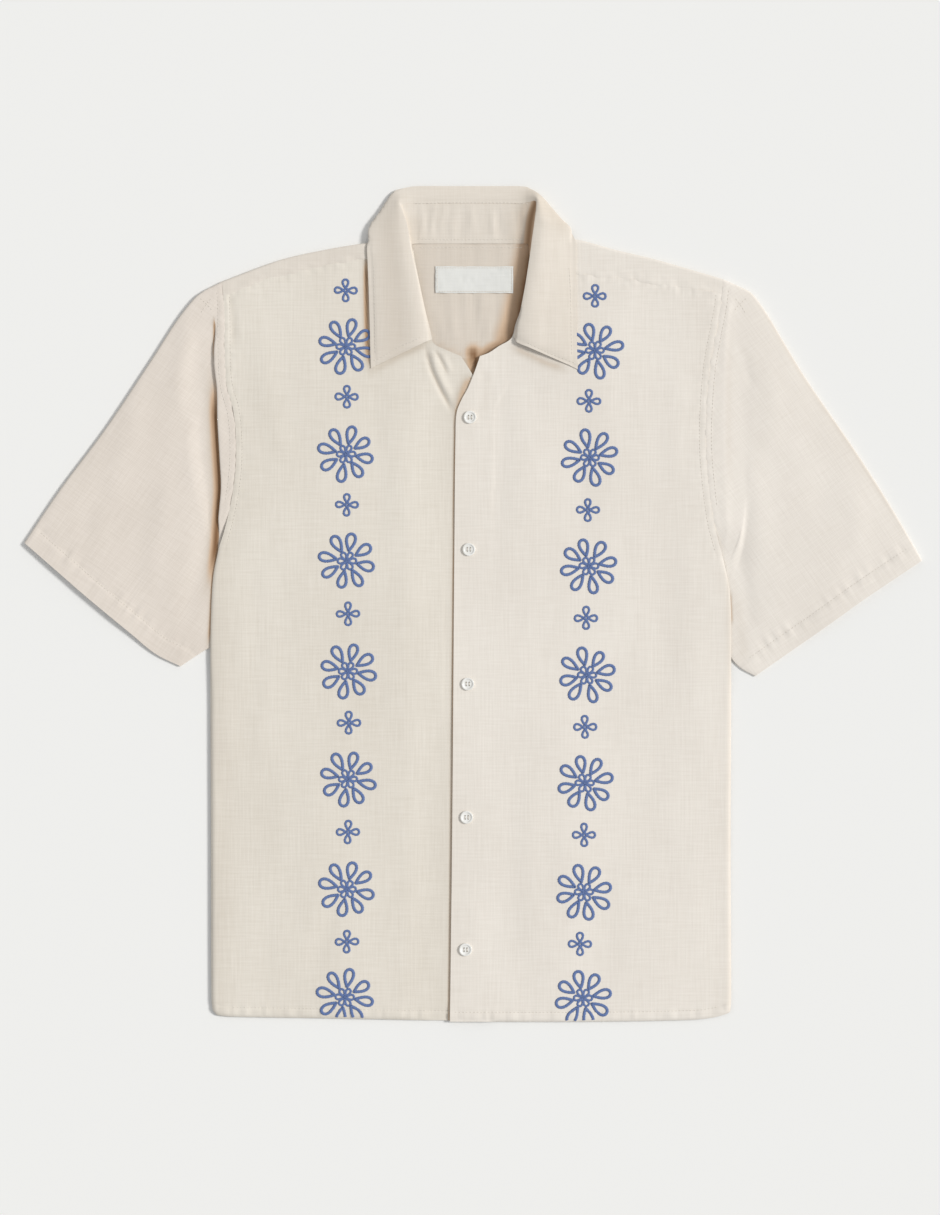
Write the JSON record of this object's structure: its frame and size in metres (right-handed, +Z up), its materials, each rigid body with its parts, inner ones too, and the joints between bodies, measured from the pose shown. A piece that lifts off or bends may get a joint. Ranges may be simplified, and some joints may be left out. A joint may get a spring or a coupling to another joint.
{
  "type": "short-sleeve shirt",
  "caption": "Boxy short-sleeve button-front shirt in slubbed linen-like cloth, laid flat on its back, with a turned-down collar and embroidered daisy bands down both fronts.",
  "frame": {"origin": "on the surface that the shirt lies on, at the middle of the outline's bounding box", "axes": "+X is the viewer's right, +Y runs from the hem to the collar, +Z is up out of the surface"},
  "size_m": [0.8088, 0.7531, 0.0145],
  "materials": {
    "linen_cloth": "matte",
    "label_tape": "satin",
    "button_resin": "gloss"
  },
  "bodies": {
    "root": {"back": "linen_cloth", "yoke": "linen_cloth", "front_left": "linen_cloth", "front_right": "linen_cloth", "sleeve_left": "linen_cloth", "sleeve_right": "linen_cloth", "collar": "linen_cloth", "collar_stand": "linen_cloth", "neck_label": "label_tape", "button_1": "button_resin", "button_2": "button_resin", "button_3": "button_resin", "button_4": "button_resin", "button_5": "button_resin"}
  },
  "joints": []
}
